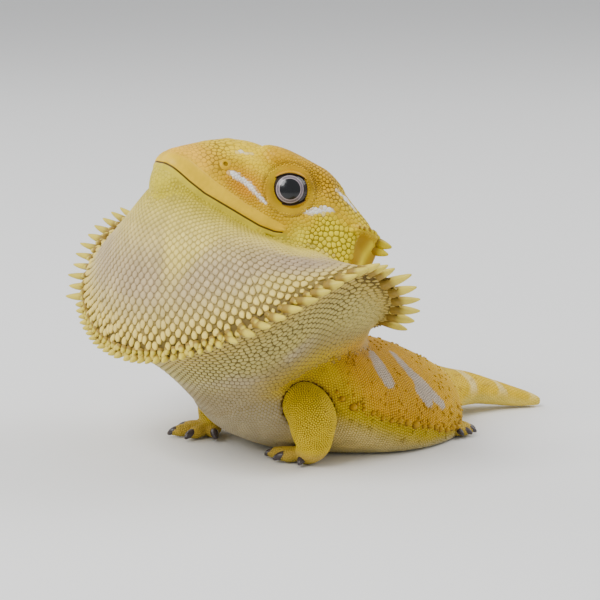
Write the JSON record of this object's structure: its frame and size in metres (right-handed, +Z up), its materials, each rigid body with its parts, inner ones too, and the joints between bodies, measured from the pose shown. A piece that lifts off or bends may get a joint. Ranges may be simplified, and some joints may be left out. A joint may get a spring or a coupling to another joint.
{
  "type": "bearded dragon figure",
  "caption": "Still figure of a bearded dragon lying on its belly with raised head and puffed-out spiny beard, its chest propped on short clawed forelegs.",
  "frame": {"origin": "on the floor under the middle of the bounding box", "axes": "+Z up; the figure faces -Y, with its left side towards +X"},
  "size_m": [0.1069, 0.1274, 0.0786],
  "materials": {
    "head_skin": "satin painted vinyl, golden yellow with fine moulded scales",
    "jaw_skin": "satin painted vinyl, pale yellow",
    "beard_skin": "satin painted vinyl, cream with yellow spikes",
    "neck_skin": "satin painted vinyl, beige with brown grooves between the scales",
    "back_skin": "satin painted vinyl, orange-yellow with pale stripes",
    "tail_skin": "satin painted vinyl, yellow above and pale below",
    "leg_skin": "satin painted vinyl, ochre yellow",
    "claw": "glossy dark grey paint",
    "eye": "clear gloss over a black pupil and a silver ring"
  },
  "bodies": {
    "root": {"head": "head_skin", "lower_jaw": "jaw_skin", "beard": "beard_skin", "neck": "neck_skin", "trunk": "back_skin", "tail": "tail_skin", "foreleg_left": "leg_skin", "foreleg_right": "leg_skin", "hindleg_left": "leg_skin", "hindleg_right": "leg_skin", "claw_foreleg_left_1": "claw", "claw_foreleg_left_2": "claw", "claw_foreleg_left_3": "claw", "claw_foreleg_left_4": "claw", "claw_foreleg_left_5": "claw", "claw_foreleg_right_1": "claw", "claw_foreleg_right_2": "claw", "claw_foreleg_right_3": "claw", "claw_foreleg_right_4": "claw", "claw_foreleg_right_5": "claw", "claw_hindleg_left_1": "claw", "claw_hindleg_left_2": "claw", "claw_hindleg_left_3": "claw", "claw_hindleg_left_4": "claw", "claw_hindleg_left_5": "claw", "claw_hindleg_right_1": "claw", "claw_hindleg_right_2": "claw", "claw_hindleg_right_3": "claw", "claw_hindleg_right_4": "claw", "claw_hindleg_right_5": "claw", "eye_left": "eye", "eye_right": "eye"}
  },
  "joints": []
}
